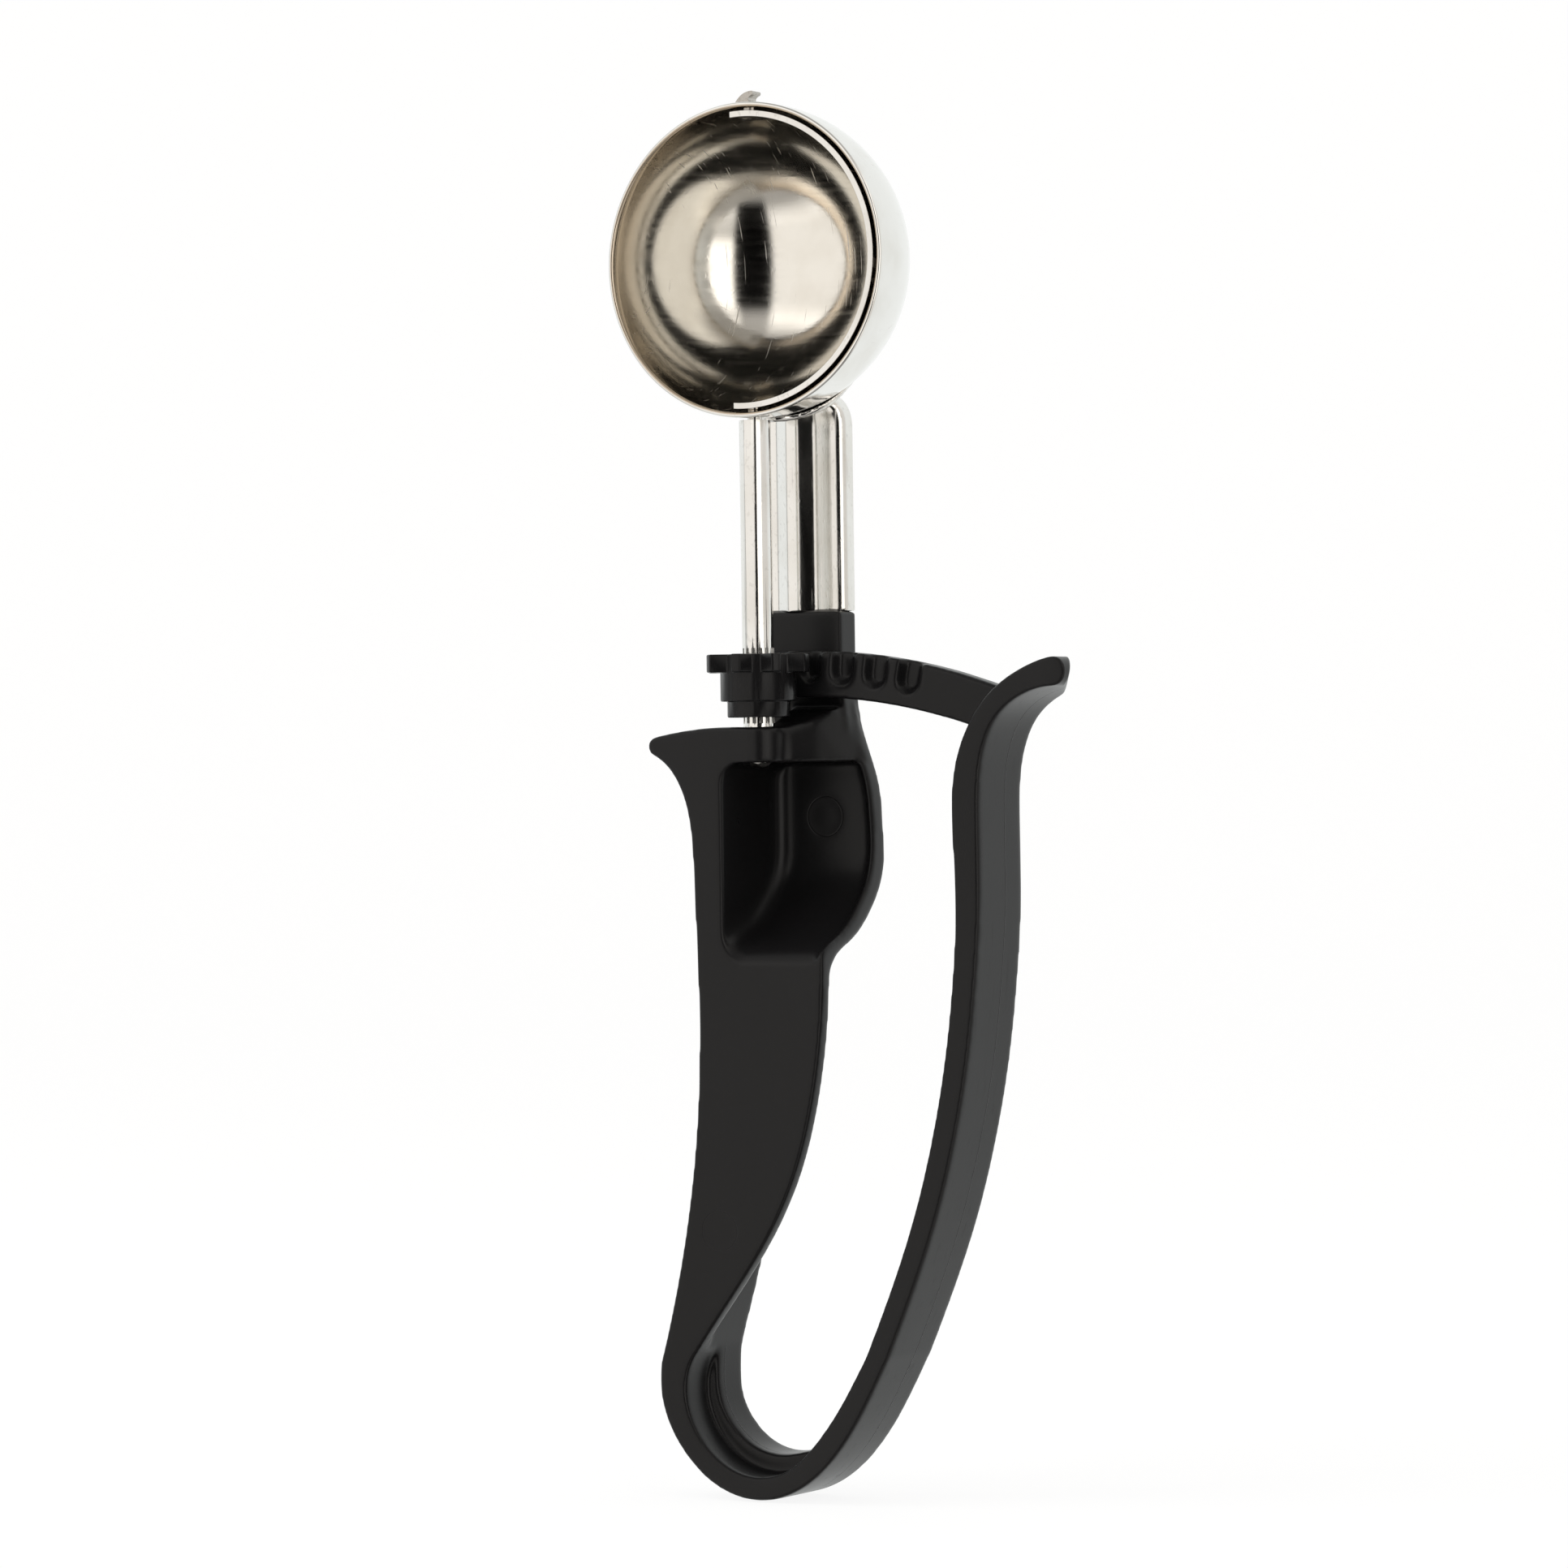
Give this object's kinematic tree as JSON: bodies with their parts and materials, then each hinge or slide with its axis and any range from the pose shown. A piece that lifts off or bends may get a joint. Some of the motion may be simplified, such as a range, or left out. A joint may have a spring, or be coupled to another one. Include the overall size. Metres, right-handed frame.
{
  "type": "lever ice cream scoop",
  "caption": "Ice cream scoop with a round steel bowl, a scraper turned by rack and pinion, and a one-piece moulded grip whose loop springs the squeeze lever back.",
  "frame": {"origin": "on the scraper's turning axis, level with the lowest point of the handle's loop", "axes": "+Z along the scraper's axis from the loop up to the bowl; -Y out of the bowl's mouth; +X towards the squeeze lever"},
  "size_m": [0.0767, 0.0314, 0.2098],
  "materials": {
    "plastic": "satin moulded black plastic",
    "pinion_plastic": "satin moulded black plastic",
    "bowl_steel": "polished steel with fine scratches",
    "shank_steel": "bright formed steel",
    "blade_steel": "bright steel strip",
    "shaft_steel": "bright drawn rod"
  },
  "bodies": {
    "root": {"handle_frame": "plastic", "spring_bend": "plastic", "bowl": "bowl_steel", "bowl_shank": "shank_steel"},
    "lever": {"squeeze_lever": "plastic"},
    "scraper": {"scraper_blade": "blade_steel", "blade_pivot": "blade_steel", "scraper_shaft": "shaft_steel", "pinion_gear": "pinion_plastic"}
  },
  "joints": [
    {"name": "lever_squeeze", "type": "hinge", "parent": "root", "child": "lever", "pos_m": [0.002, 0, 0.022], "axis": [0, -1, 0], "range_deg": [0, 12], "stiffness_Nm_per_rad": 7, "deforming": ["spring_bend"]},
    {"name": "scraper_turn", "type": "hinge", "parent": "root", "child": "scraper", "pos_m": [0, 0, 0.1846], "axis": [0, 0, 1], "range_deg": [0, 170]}
  ],
  "couplings": [
    {"joint": "scraper_turn", "follows": "lever_squeeze", "ratio": 14.125}
  ]
}
